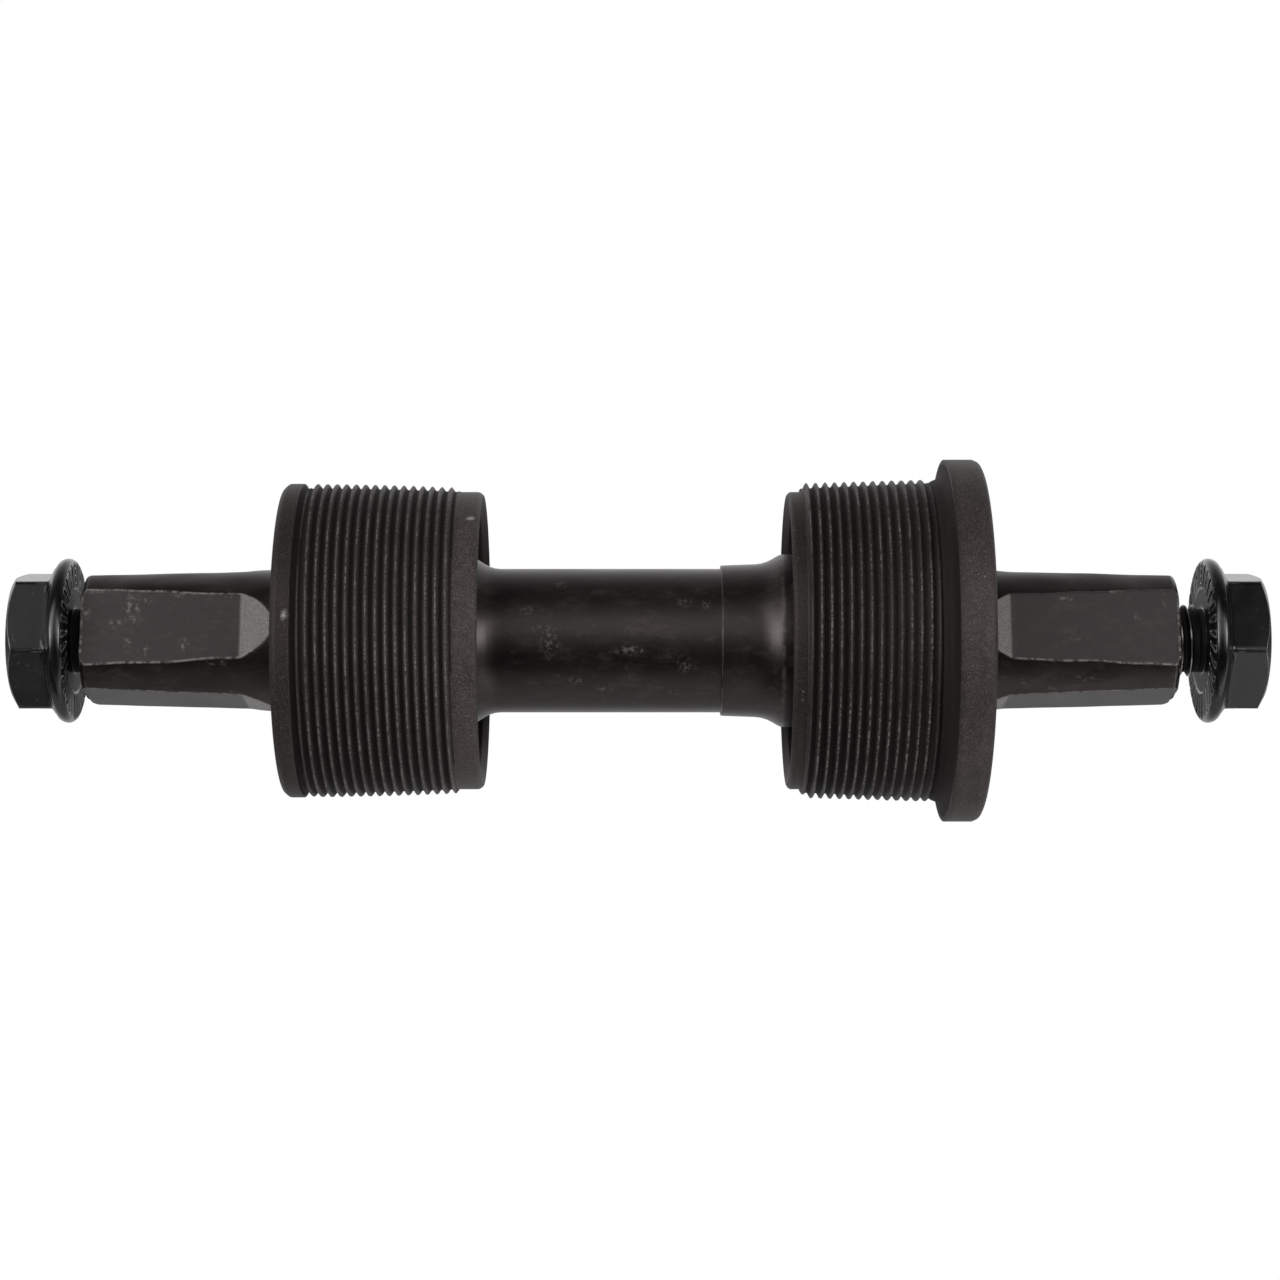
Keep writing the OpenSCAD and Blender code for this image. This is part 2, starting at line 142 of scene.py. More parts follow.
# %% A node tree that is built by sums
class Finish:
    """The node tree of a material or of the world."""

    def __init__(self, owner):
        owner.use_nodes = True
        self.owner = owner
        self.tree = owner.node_tree
        self.tree.nodes.clear()

    def node(self, kind, settings=None, sockets=None, out=0):
        """Any node: its settings first, and then the values or links of its sockets."""
        node = self.tree.nodes.new("ShaderNode" + kind)
        for name, value in (settings or {}).items():
            if name == "stops":
                self.fill_ramp(node.color_ramp, value)
            else:
                setattr(node, name, value)
        for name, value in (sockets or {}).items():
            if isinstance(value, Signal):
                self.tree.links.new(value.socket, node.inputs[name])
            else:
                node.inputs[name].default_value = value
        return Signal(self, node.outputs[out]) if node.outputs else None

    def fill_ramp(self, ramp, stops):
        """Gives a ramp its stops, which are pairs of a position and a brightness."""
        while len(ramp.elements) < len(stops):
            ramp.elements.new(1.0)
        for element, (position, value) in zip(ramp.elements, stops):
            element.position = position
            element.color = (value, value, value, 1)

    def place(self, stretch=(1, 1, 1)):
        """Where a point is on the piece, in millimetres, stretched to draw a pattern out."""
        where = self.node("TexCoord", out="Object")
        scale = [factor / MM for factor in stretch]
        return self.node("Mapping", {}, {"Vector": where, "Scale": scale})

    def cloud(self, size, detail=2.0, rough=0.5, stretch=(1, 1, 1)):
        """Soft noise from 0 to 1 with blotches of about this many millimetres."""
        sockets = {"Vector": self.place(stretch), "Scale": 1 / size,
                   "Detail": detail, "Roughness": rough}
        return self.node("TexNoise", {}, sockets)

    def stored(self, name):
        """A number that the piece stores at its vertices, such as its wear."""
        return self.node("Attribute", {"attribute_name": name}, out="Fac")

    def blend(self, factor, first, second):
        """A colour between two colours."""
        settings = {"data_type": "RGBA", "clamp_factor": True}
        return self.node("Mix", settings, {0: factor, 6: first, 7: second}, out=2)

    def bump(self, height, depth):
        """A relief of this many millimetres for a height from 0 to 1."""
        return self.node("Bump", {}, {"Height": height, "Distance": depth * MM, "Strength": 1.0})

    def surface(self, **sockets):
        """Ends a material in one Principled shader."""
        named = {name.replace("_", " "): value for name, value in sockets.items()}
        shader = self.node("BsdfPrincipled", {}, named)
        self.node("OutputMaterial", {}, {"Surface": shader})
        return self.owner


def grey(value, warm=1.0):
    """A nearly neutral colour: above 1, warm leans it to a reddish brown."""
    return (value * warm, value, value / warm ** 0.3, 1)


# %% [markdown]
# ## The studio
# Rays from the camera see plain white. All other rays see the softbox, whose brightness depends
# on how far round from the front they leave: darkest just below the front and overhead, half
# bright underneath, and brightest behind. Wide panels and bright strips stand off to the front
# left and right, where flares, ramps and rounded edges catch them. The ceiling is brighter to
# the left and the floor to the right, so the two bolts mirror different things.

# %% World
# How many degrees upwards round from the front, and how bright the softbox is there
SOFTBOX = ((-180, 0.12), (-172, 0.5), (-160, 0.9), (-150, 0.65), (-128, 0.32), (-92, 0.48),
           (-64, 0.42), (-50, 0.12), (-40, 0), (-18, 0), (-8, 0.05), (0, 0.08), (22, 0.26),
           (40, 0.14), (60, 0.05), (76, 0.02), (92, 0.08), (113, 0.3), (139, 0.75), (158, 1.2),
           (168, 1.1), (180, 0.12))
CEILING, FLOOR, PANELS, STRIPS = 46, -74, 24, 12  # how far round from the front they lie


def light_studio():
    """The white backdrop, and the softbox that everything else sees."""
    world = bpy.data.worlds.new("studio")
    scene.world = world
    studio = Finish(world)
    away = studio.node("TexCoord", out="Generated")
    across, depth, height = (studio.node("SeparateXYZ", {}, {"Vector": away}, out=axis)
                             for axis in "XYZ")
    round_from_front = height.math("ARCTAN2", height, -1 * depth) * (0.5 / math.pi) + 0.5
    brightest = max(value for degrees, value in SOFTBOX)
    stops = [(0.5 + degrees / 360, value / brightest) for degrees, value in SOFTBOX]
    glow = studio.node("ValToRGB", {"stops": stops}, {"Fac": round_from_front}) * brightest

    def hump(degrees, half):
        """1 at so many degrees round, falling to 0 over half degrees to either side."""
        off = round_from_front.math("ABSOLUTE", round_from_front - (0.5 + degrees / 360))
        return off.between(0, half / 360, 1, 0)

    aside = across.math("ABSOLUTE", across)
    panels = aside.between(0.3, 0.5) * hump(PANELS, 40) * 1.8
    strips = aside.between(0.76, 0.82) * hump(STRIPS, 34) * 8
    uneven = across * hump(FLOOR, 22) * 1.4 - across * hump(CEILING, 20) * 2.2
    total = glow * aside.between(0.5, 0.9, 1, 0.2) + uneven
    total = total + (panels + strips) * aside.between(0.9, 0.95, 1, 0)
    total = total.math("MAXIMUM", total, 0)
    softbox = studio.node("Background", {}, {"Color": total, "Strength": 1.0})
    backdrop = studio.node("Background", {}, {"Color": grey(1.0), "Strength": 1.0})
    seen = studio.node("LightPath", out="Is Camera Ray")
    both = studio.node("MixShader", {}, {0: seen, 1: softbox, 2: backdrop})
    studio.node("OutputWorld", {}, {"Surface": both})


light_studio()
print("softbox stops", len(SOFTBOX), "world", scene.world.name)


# %% [markdown]
# ## Key lamp and floor
# The world alone would do from the front. A weak key lamp adds a soft sheen to the flats that
# face it, and a pale card well below the part gives the other views a ground. The card is hidden
# from mirror rays, because it would cover the bright underside of the softbox.

# %% Key lamp and floor card
def lamp(name, place, size, power):
    """A square softbox lamp at a place in millimetres, facing the middle of the part."""
    data = bpy.data.lights.new(name, "AREA")
    data.size = size * MM
    data.energy = power
    lamp_object = bpy.data.objects.new(name, data)
    lamp_object.location = Vector(place) * MM
    lamp_object.rotation_euler = (-Vector(place)).to_track_quat("-Z", "Y").to_euler()
    scene.collection.objects.link(lamp_object)


def lay_floor():
    """A round pale card below the part."""
    depth, radius = 120, 210
    bm = bmesh.new()
    bmesh.ops.create_circle(bm, cap_ends=True, segments=96, radius=radius * MM)
    bmesh.ops.translate(bm, verts=bm.verts, vec=(0, 0, -depth * MM))
    mesh = bpy.data.meshes.new("floor")
    bm.to_mesh(mesh)
    bm.free()
    floor = bpy.data.objects.new("floor", mesh)
    scene.collection.objects.link(floor)
    card = Finish(bpy.data.materials.new("floor_card"))
    mesh.materials.append(card.surface(Base_Color=grey(0.85), Roughness=0.9,
                                       Emission_Color=grey(1.0), Emission_Strength=0.3))
    floor.visible_glossy = False


lamp("key", place=(70, -460, 200), size=300, power=0.2)
lay_floor()


# %% [markdown]
# ## Finishes
# Nearly every surface is dark, so wear, dust and grain tell the pieces apart. A painted image
# could hold them, but noise measured in millimetres needs no unwrapping and stays sharp close
# up. What has its own place, such as a worn edge, is a number stored at the vertices.
#
# The spindle is black-oxide forged steel: a thin dark film that has rubbed through on the edges
# and is scuffed pale in patches. Its flats are machined, so they are a cooler grey, and the
# ramps behind them are bright and granular.

# %% Oxide on the spindle
WARM_SHEEN = (1.0, 0.87, 0.85, 1)
RUBBED_STEEL, SCUFFED_OXIDE = (0.5, 0.47, 0.44, 1), (0.25, 0.23, 0.21, 1)


def oxide_spindle():
    """cut is 0 on the forged skin, a half on the machined flats and 1 on their ramps. scuff is 1
    where something has rubbed, and below 0 where even the edges were spared."""
    f = Finish(bpy.data.materials.new("oxide_spindle"))
    cut = f.stored("cut")
    flat, ramp = cut.between(0.1, 0.4), cut.between(0.6, 0.95)
    cloudy = f.cloud(6, 3)
    grain = f.cloud(0.22, 3, 0.6)
    flecks = f.cloud(0.5, 5, 0.75).between(0.48, 0.64)
    scratches = f.cloud(0.5, 3, 0.6, stretch=(0.5, 1.4, 1.4)).between(0.68, 0.76)
    granular = f.cloud(0.15, 2, 0.7).between(0.3, 0.7)
    smears = f.cloud(1.7, 6, 0.8, stretch=(0.6, 1.2, 1.2)).between(0.48, 0.68)
    edges = f.stored("wear") ** 1.6 + f.stored("scuff").between(-1, 0, -0.7, 0)
    rubbed = (edges * f.cloud(0.8, 4, 0.7).between(0.4, 0.58)).clamped()
    patches = f.stored("scuff") * flecks * (0.45 + flat * 0.3)
    scuffed = (patches + scratches * 0.12 + smears * 0.08).clamped()
    film = f.blend(cloudy.between(0.3, 0.7), grey(0.003, 1.25), grey(0.007, 1.25))
    film = f.blend(grain.between(0.45, 0.75) * 0.5, film, grey(0.014, 1.25))
    film = f.blend(flat, film, f.blend(grain, grey(0.016, 0.9), grey(0.026, 0.9)))
    film = f.blend(ramp, film, f.blend(granular, grey(0.14, 1.05), grey(0.3, 1.05)))
    colour = f.blend(scuffed, film, SCUFFED_OXIDE)
    colour = f.blend(rubbed * 0.72, colour, RUBBED_STEEL)
    rough = 0.28 + 0.1 * grain + 0.1 * cloudy + 0.16 * scuffed + 0.1 * flat
    relief = grain * 0.5 + f.cloud(1.3, 3) * 1.2 + scuffed * 0.6 + granular * ramp * 1.5
    return f.surface(Base_Color=colour, Metallic=(rubbed * 0.6).clamped(), Roughness=rough,
                     Specular_IOR_Level=0.7, Specular_Tint=WARM_SHEEN, Normal=f.bump(relief, 0.012))


# %% [markdown]
# ### The cups' compound
# The cups are black and speckled. Their bands and the flange are paler, partly with dust
# and partly as painted light from the side lamps, and the thread's crests are broken. The colours
# are
# layered from below: clean compound, dust and painted light, salt-like grains, worn crests, roots
# darkened with dirt and painted shade, and a few nicks on top.

# %% Moulding compound of the cups
def moulded_cup():
    """sunk runs from 0 on the thread's crests to 1 in its roots, threaded is 1 where the thread
    runs, the stored paling is how much paler the surface is with dust and painted light, and nick
    is 1 in a pale nick."""
    f = Finish(bpy.data.materials.new("moulded_cup"))
    sunk, dusty = f.stored("sunk"), f.stored("dusty")
    root = sunk.between(0.4, 0.9)
    crest = f.stored("threaded") * sunk.between(0.03, 0.14, 1, 0)
    speckle = f.cloud(0.16, 2, 0.6)
    mottle = f.cloud(1.1, 3, 0.6)
    cloudy = f.cloud(7, 2)
    salt = f.cloud(0.18, 2, 0.6).between(0.55, 0.68)
    broken = f.cloud(0.3, 3, 0.7).between(0.4, 0.62) * f.cloud(4, 2).between(0.35, 0.62, 0.25, 1)
    nicks = f.cloud(0.5, 2, 0.5).between(0.75, 0.79)
    clean = f.blend(speckle.between(0.35, 0.75), grey(0.005, 1.3), grey(0.013, 1.3))
    # The paler colour stands for dust and also for painted light where the side lamps fall on the
    # bands and the flange.
    dust = f.blend(speckle.between(0.3, 0.7), grey(0.026, 1.2), grey(0.072, 1.2))
    paled = dusty * (0.5 + 0.3 * cloudy.between(0.35, 0.7) + 0.3 * mottle.between(0.35, 0.65))
    colour = f.blend(paled, clean, dust)
    colour = f.blend(salt * (0.12 + 0.33 * dusty), colour, grey(0.17, 1.1))
    worn = crest * (0.8 + 0.5 * dusty) + f.stored("wear") * 0.25
    colour = f.blend(worn * broken, colour, grey(0.15, 1.1))
    # Painted shade: the thread's roots are blackened, both as dirt and as the shade that falls in
    # them.
    colour = f.blend(root * 0.95, colour, grey(0.002, 1.3))
    colour = f.blend(nicks * (1 - root) * 0.8, colour, (0.3, 0.27, 0.24, 1))
    colour = f.blend(f.stored("nick") * mottle.between(0.4, 0.55), colour, (0.42, 0.4, 0.37, 1))
    rough = 0.44 + 0.16 * speckle + 0.08 * mottle + 0.25 * root
    return f.surface(Base_Color=colour, Roughness=rough, Specular_Tint=WARM_SHEEN,
                     Normal=f.bump(speckle + mottle * 0.6 + salt, 0.02))


# %% [markdown]
# ### The bolts' oxide
# The bolts are smoother and glossier than the spindle, and their black is neutral. A slot's
# floor or a thread's root would still mirror the studio, so both are rougher and painted blacker as
# shade.

# %% Oxide on the bolts
def oxide_bolt():
    """sunk is 1 in the thread's roots and on the floors of the slots, which are rough and painted
    black as shade.
    """
    f = Finish(bpy.data.materials.new("oxide_bolt"))
    cloudy = f.cloud(2.4, 3, 0.6)
    grain = f.cloud(0.18, 3, 0.6)
    flecks = f.cloud(0.6, 4, 0.7).between(0.62, 0.7)
    rubbed = (f.stored("wear") ** 1.6 * f.cloud(0.7, 4, 0.7).between(0.32, 0.52)).clamped()
    rubbed = rubbed * (1 - f.stored("sunk").between(0, 0.1))
    film = f.blend(cloudy.between(0.3, 0.7), (0.003, 0.003, 0.0035, 1), (0.008, 0.0078, 0.009, 1))
    # Painted shade: black in the thread's roots and on the slots' floors.
    film = f.blend(f.stored("sunk"), film, (0.001, 0.001, 0.001, 1))
    colour = f.blend(flecks * 0.25, film, grey(0.15, 1.05))
    colour = f.blend(rubbed * 0.8, colour, (0.5, 0.49, 0.46, 1))
    rough = 0.14 + 0.12 * cloudy + 0.06 * grain + 0.6 * f.stored("sunk")
    return f.surface(Base_Color=colour, Metallic=(rubbed * 0.7).clamped(), Roughness=rough,
                     Specular_IOR_Level=0.7, Normal=f.bump(grain * 0.2 + cloudy, 0.006))


# %% [markdown]
# ### Bearing steel and seals
# The races, balls and cages are bright steel. One function makes all three, because they differ
# only in shade, polish and the width of their grinding lines, which are noise drawn out across
# the axis. The seals are black rubber with a little dust.

# %% Bearing steel, cage steel and seal rubber
def ground_steel(name, shade, rough, lines):
    """Bright steel with grinding lines round the axis, this many millimetres apart."""
    f = Finish(bpy.data.materials.new(name))
    ground = f.cloud(lines, 4, 0.7, stretch=(1, 0.12, 0.12))
    cloudy = f.cloud(2.2, 3)
    colour = f.blend(cloudy.between(0.3, 0.7), grey(shade, 0.99), grey(shade * 0.8, 1.0))
    rough = rough + 0.1 * ground + 0.06 * cloudy
    return f.surface(Base_Color=colour, Metallic=1.0, Roughness=rough, Normal=f.bump(ground, 0.003))


def seal_rubber():
    """Black rubber with a fine grain and some grey dust."""
    f = Finish(bpy.data.materials.new("seal_rubber"))
    grain = f.cloud(0.14, 3, 0.6)
    dust = f.cloud(1.8, 4, 0.6).between(0.45, 0.75)
    colour = f.blend(dust * 0.5, grey(0.012), grey(0.04, 1.03))
    return f.surface(Base_Color=colour, Roughness=0.55 + 0.15 * grain, Normal=f.bump(grain, 0.01))


FINISHES = {
    "oxide_spindle": oxide_spindle(),
    "moulded_cup": moulded_cup(),
    "oxide_bolt": oxide_bolt(),
    "race_steel": ground_steel("race_steel", 0.5, 0.2, 0.12),
    "ball_steel": ground_steel("ball_steel", 0.62, 0.08, 0.3),
    "cage_steel": ground_steel("cage_steel", 0.42, 0.34, 0.2),
    "seal_rubber": seal_rubber(),
}
print("finishes", list(FINISHES))


# %% [markdown]
# ## Turning pieces
# Nearly everything here is turned: a half outline of places along the axis and radii, spun once
# round X. Each corner is given with how far it is rounded, because an edge with no radius
# catches no light. What isn't round, such as flats, splines and slots, is pressed into the spun
# mesh by a rule that moves each vertex in or out.

# %% Outlines and spinning
WELD = 0.002  # points closer than this many millimetres are one point


def rounded(corners, segments=3):
    """Outline points from corners (x, radius, rounding): each rounded corner becomes a curve."""
    points = []
    for index, (x, r, soft) in enumerate(corners):
        corner = Vector((x, r))
        if soft == 0 or index in (0, len(corners) - 1):
            points.append(corner)
            continue
        arms = []
        for neighbour in (corners[index - 1], corners[index + 1]):
            arm = Vector(neighbour[:2]) - corner
            arms.append(corner + arm * min(soft / arm.length, 0.48))  # short of half way
        for step in range(segments + 1):
            t = step / segments
            points.append(arms[0] * (1 - t) ** 2 + corner * 2 * t * (1 - t) + arms[1] * t ** 2)
    return points


def divided(points, gap):
    """The same outline with no two points further apart than gap(x) millimetres."""
    dense = [points[0]]
    for start, end in zip(points, points[1:]):
        parts = max(1, math.ceil((end - start).length / gap((start.x + end.x) / 2)))
        dense += [start.lerp(end, part / parts) for part in range(1, parts + 1)]
    return dense


def turn(bm, points, steps, drift=0.0):
    """Spins an outline once round X. With a drift along X it winds like a thread instead.
    A sixteenth is spun and then doubled four times, which is far quicker than one long spin."""
    part = bmesh.new()
    verts = [part.verts.new((x, 0, r)) for x, r in points]
    edges = [part.edges.new(pair) for pair in zip(verts, verts[1:])]
    sector = math.tau / 16
    bmesh.ops.spin(part, geom=verts + edges, cent=(0, 0, 0), axis=(1, 0, 0), angle=sector,
                   dvec=(drift / steps, 0, 0), steps=steps // 16, use_merge=False)
    for doubling in range(4):
        sectors = 2 ** doubling  # how many sixteenths there are so far
        copy = bmesh.ops.duplicate(part, geom=part.verts[:] + part.edges[:] + part.faces[:])["geom"]
        copied = [item for item in copy if isinstance(item, bmesh.types.BMVert)]
        onwards = Matrix.Rotation(sector * sectors, 3, "X")
        bmesh.ops.rotate(part, verts=copied, cent=(0, 0, 0), matrix=onwards)
        bmesh.ops.translate(part, verts=copied, vec=(drift * sectors / 16, 0, 0))
    bmesh.ops.remove_doubles(part, verts=part.verts, dist=WELD)
    mesh = bpy.data.meshes.new("turned")
    part.to_mesh(mesh)
    part.free()
    before = len(bm.verts)
    bm.from_mesh(mesh)
    bpy.data.meshes.remove(mesh)
    bm.verts.ensure_lookup_table()
    return bm.verts[before:]


def reshape(verts, rule):
    """Moves each vertex where rule(x, radius, angle) says. The angle is 0 at the top and
    grows towards the front."""
    for vert in verts:
        x, y, z = vert.co
        x, r, angle = rule(x, math.hypot(y, z), math.atan2(-y, z))
        vert.co = (x, -r * math.sin(angle), r * math.cos(angle))


def softer_min(first, second, soft):
    """The smaller of two lengths, with the corner between them rounded over about soft."""
    overlap = max(soft - abs(first - second), 0) / soft
    return min(first, second) - overlap * overlap * soft / 4


def off_centre(angle, turned_by, count):
    """The angle from the nearest of count directions spread evenly from turned_by."""
    spacing = math.tau / count
    return (angle - turned_by + spacing / 2) % spacing - spacing / 2


# %% [markdown]
# ## Screw threads
# A thread could be a stack of rings, but the slope of its crests shows. So one zigzag outline is
# wound round the axis with a drift of one pitch: its end lands on its own next turn and is
# welded there. It is wound with turns to spare, and then clamped to the stretch it belongs to,
# where it fades into the plain surface.

# %% Winding a thread
# Places along one pitch and how high the thread stands there, from root to crest
THREAD_SHAPE = ((0, 0), (0.12, 0), (0.25, 0.36), (0.38, 0.84), (0.45, 1), (0.55, 1), (0.62, 0.84),
                (0.75, 0.36), (0.88, 0))
COARSE_SHAPE = ((0, 0), (0.14, 0), (0.44, 1), (0.56, 1), (0.86, 0))


def wind_thread(bm, stretch, crest_at, pitch, hand, root, crest, steps, shape=THREAD_SHAPE):
    """Adds a thread between two places. root and crest give radii from x, and hand is 1 for a
    right-handed thread, -1 for a left-handed one. One crest lies at crest_at on the top."""
    fade = 0.5
    start, end = stretch
    first = math.floor((start - crest_at) / pitch - 0.5) - 1
    turns = math.ceil((end - start) / pitch) + 5
    points = [Vector((crest_at + (first + turn_no + part - 0.5) * pitch, 1 + height))
              for turn_no in range(turns) for part, height in shape]
    verts = turn(bm, points, steps, drift=hand * pitch)

    def settle(x, r, angle):
        x = min(max(x, start), end)
        height = (r - 1) * min(1, (x - start) / fade, (end - x) / fade)
        return x, root(x) + height * (crest(x, angle) - root(x)), angle

    reshape(verts, settle)


# %% [markdown]
# ## Finishing a piece
# Every piece ends the same way. Its doubles are welded, its faces turned outwards, and its wear
# is measured: how sharply the surface bends outwards at each vertex, which is where oxide rubs
# off first. Then it is named, and told which body it moves with and what it stands for. Other
# numbers that a finish reads, such as how deep a point lies in a thread, are stored before that.

# %% Wear and naming
def portion(value, low, high):
    """How far a value lies on the way from low to high, from 0 to 1."""
    return min(max((value - low) / (high - low), 0), 1)


def mark(bm, name, measure):
    """Stores measure(x, radius, angle) at each vertex, for a finish to read."""
    layer = bm.verts.layers.float.new(name)
    for vert in bm.verts:
        x, y, z = vert.co
        vert[layer] = measure(x, math.hypot(y, z), math.atan2(-y, z))


def mark_wear(bm, dull, bare):
    """Stores how sharply the mesh bends outwards at each vertex, from dull to bare degrees."""
    layer = bm.verts.layers.float.new("wear")
    for vert in bm.verts:
        bend = max((edge.calc_face_angle_signed(0) for edge in vert.link_edges), default=0)
        vert[layer] = portion(math.degrees(bend), dull, bare)


def finish_piece(bm, name, body, slot, node, sharp=42, wear=(9, 34)):
    """Makes the named piece, in metres. It moves with body and is seen in place of node.
    Edges that bend more than sharp degrees aren't shaded smooth."""
    bmesh.ops.remove_doubles(bm, verts=bm.verts, dist=WELD)
    bmesh.ops.dissolve_degenerate(bm, edges=bm.edges, dist=WELD)
    bmesh.ops.recalc_face_normals(bm, faces=bm.faces)
    mark_wear(bm, *wear)
    open_edges = sum(not edge.is_manifold for edge in bm.edges)
    bmesh.ops.scale(bm, verts=bm.verts, vec=(MM, MM, MM))
    mesh = bpy.data.meshes.new(name)
    bm.to_mesh(mesh)
    bm.free()
    mesh.shade_smooth()
    mesh.set_sharp_from_angle(angle=math.radians(sharp))
    mesh.materials.append(FINISHES[slot])
    piece = bpy.data.objects.new(name, mesh)
    scene.collection.objects.link(piece)
    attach(piece, body)
    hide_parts(node)
    mesh.calc_loop_triangles()
    print(name, "triangles", len(mesh.loop_triangles), "open edges", open_edges)


# %% [markdown]
# ## Spindle
# One forging: a plain middle, a flare and shoulder behind each bearing, a turned seat for it,
# and a square taper at each end. The taper's flats are only as wide as the round stock lets
# them be, so the outline is spun round first. Then each flat presses its vertices in, and the
# columns of vertices are slid sideways so that one runs exactly along every edge of a flat.

# %% Spindle sizes
SPINDLE_STEPS = 240
spindle_left, spindle_right = ends("spindle")
left_race_out, left_race_in = ends("left_inner_race")
drive_race_in, drive_race_out = ends("drive_inner_race")
shoulder_r = reach("spindle")
seat_r, shaft_r = 8.5, 7.9  # under the bearings, and in the middle
stub_r, stub_end_r = 7.8, 7.6  # the round stock that the flats are pressed into
end_face_r, end_chamfer = 7.1, 0.5
hole_r, hole_depth = 4.02, 22
hole_thread_len, hole_thread_deep, bolt_pitch = 9.5, 0.4, 1.0
step_from, step_r, step_end_r = 11.9, 8.275, 8.45  # the thicker stretch towards the drive side
left_flare_end, drive_flare_start = -12.3, 16.7
square_half, square_slope = 6.3, math.tan(math.radians(2))
flat_len, drive_flat_len, ramp_len = 17.5, 18.3, 3.4
square_turn = math.radians(-13.5)
base_half = square_half + flat_len * square_slope
ramp_slope = (stub_r - base_half) / ramp_len
print("spindle", spindle_left, "to", spindle_right, "shoulders", shoulder_r)


# %% Flats and ramps
def from_end(x):
    """How deep a place lies from the nearer end. The longer drive flats are shrunk to match."""
    return min(x - spindle_left, (spindle_right - x) * flat_len / drive_flat_len)


def flat_distance(depth):
    """How far the flats lie from the axis at this depth from the spindle's end."""
    if depth < flat_len:
        return square_half + depth * square_slope
    return base_half + (depth - flat_len) * ramp_slope


def press_flats(x, r, angle):
    """The four flats and their ramps at each end, edges and all."""
    depth = from_end(x)
    if depth > flat_len + ramp_len + 1 or r < end_face_r - 0.6:
        return x, r, angle
    swell = 0.11 * noise.noise(Vector((x * 0.22, 3 * math.sin(angle), 3 * math.cos(angle))))
    fades = min(1, depth / 4) * min(1, max(0, (flat_len + ramp_len + 1 - depth) / 3))
    stock = r + swell * fades
    flat = flat_distance(depth)
    aside = off_centre(angle, square_turn, 4)
    edge = math.acos(min(flat / max(stock, flat), 1))
    edge = max(edge, math.radians(2.5))  # so that the columns never meet
    grid_edge = math.radians(30)  # the column of vertices that is slid onto a flat's edge
    if abs(aside) < grid_edge:
        moved = aside * edge / grid_edge
    else:
        past = (abs(aside) - grid_edge) / (math.pi / 4 - grid_edge)
        moved = math.copysign(edge + past * (math.pi / 4 - edge), aside)
    r = softer_min(stock, flat / math.cos(moved), 0.04)
    return x, r, angle + moved - aside


def row_gap(x):
    """Rows of vertices are close at the ends and on the ramps, and wide inside the bearings."""
    depth = from_end(x)
    if depth < 0.8:
        return 0.12
    if depth < flat_len + ramp_len + 1.2:
        return 0.22 if depth > flat_len - 0.5 else 0.5
    return 0.5 if left_flare_end - 2.5 < x < drive_race_in else 3


def freshly_cut(x, r, angle):
    """1 on a ramp, a half on a flat, and 0 on the forged skin between them."""
    depth = from_end(x)
    above = r * math.cos(off_centre(angle, square_turn, 4)) - flat_distance(depth)
    if not 0 <= depth <= flat_len + ramp_len or abs(above) > 0.05:
        return 0
    return 1 if depth > flat_len + 0.05 else 0.5


# %% [markdown]
# ### Scuffs
# Handling has left pale scuffs on the flats and in the middle. Those on the front are placed one
# by one, and noise only breaks them up.

# %% Scuff marks
# Where the front is scuffed: places along and above the axis, and how far across and high
SCUFFS = ((-51.9, 3.4, 0.8, 2.0), (-50.2, 4.5, 0.4, 0.5), (-53.7, 1.9, 0.6, 0.6),
          (-57.0, 3.0, 0.5, 0.7), (-52.2, -0.4, 0.4, 0.7), (-50.5, -1.0, 0.5, 0.6),
          (-46.2, -0.4, 0.5, 0.7), (-46.8, 5.1, 0.7, 0.4), (-41.4, 5.0, 0.7, 0.4),
          (-56.0, 5.4, 1.1, 0.3), (-42.6, -2.3, 1.0, 0.4), (-41.1, -5.8, 0.7, 0.4),
          (-6.6, -0.3, 1.1, 1.7), (-7.6, 1.3, 0.9, 0.4), (-9.0, 3.2, 1.0, 0.6),
          (-3.8, -4.3, 0.7, 0.5), (-0.9, -5.2, 0.9, 0.3), (-5.4, 6.0, 0.5, 0.4),
          (7.8, 4.3, 0.7, 0.7), (10.2, 3.7, 0.6, 0.6), (2.2, -1.1, 1.8, 0.5),
          (8.0, -2.6, 0.9, 0.8), (6.7, -5.6, 0.4, 0.3), (50.1, 0.2, 0.3, 0.3),
          (51.2, -3.9, 1.0, 0.5), (54.8, 5.2, 0.6, 0.3), (49.0, 4.4, 0.9, 0.4),
          (44.3, -4.4, 0.3, 0.3), (47.6, -5.2, 0.5, 0.3), (59.9, 4.4, 0.2, 0.8),
          (56.8, 2.5, 0.4, 0.4))


def scuffed(x, r, angle):
    """The placed scuffs on the front, and scattered ones behind. The end faces are scuffed most.
    The edge of the step and the upper edge of the drive end's front flat are spared."""
    above, behind = r * math.cos(angle), math.sin(angle) < 0.05
    if from_end(x) < 0.25 and r > 5:
        return 2
    if abs(x - step_from) < 0.3:
        return -1
    if behind:
        return portion(noise.noise(Vector((x, r * math.sin(angle), above)) / 2.6), 0.3, 0.45)
    near = min(math.hypot((x - at_x) / wide, (above - at_z) / high)
               for at_x, at_z, wide, high in SCUFFS)
    if near > 1.3 and x > drive_race_out and math.radians(32) < angle < math.radians(55):
        return -0.8
    return portion(near, 1.3, 0.5)


# %% Turn and thread the spindle
def bolt_hole(end, inwards):
    """The outline of a bolt hole from its drilled point to where its thread starts."""
    point = end + inwards * (hole_depth + hole_r * math.tan(math.radians(30)))
    return [(point, 0, 0), (end + inwards * hole_depth, hole_r, 0.1),
            (end + inwards * hole_thread_len, hole_r, 0)]


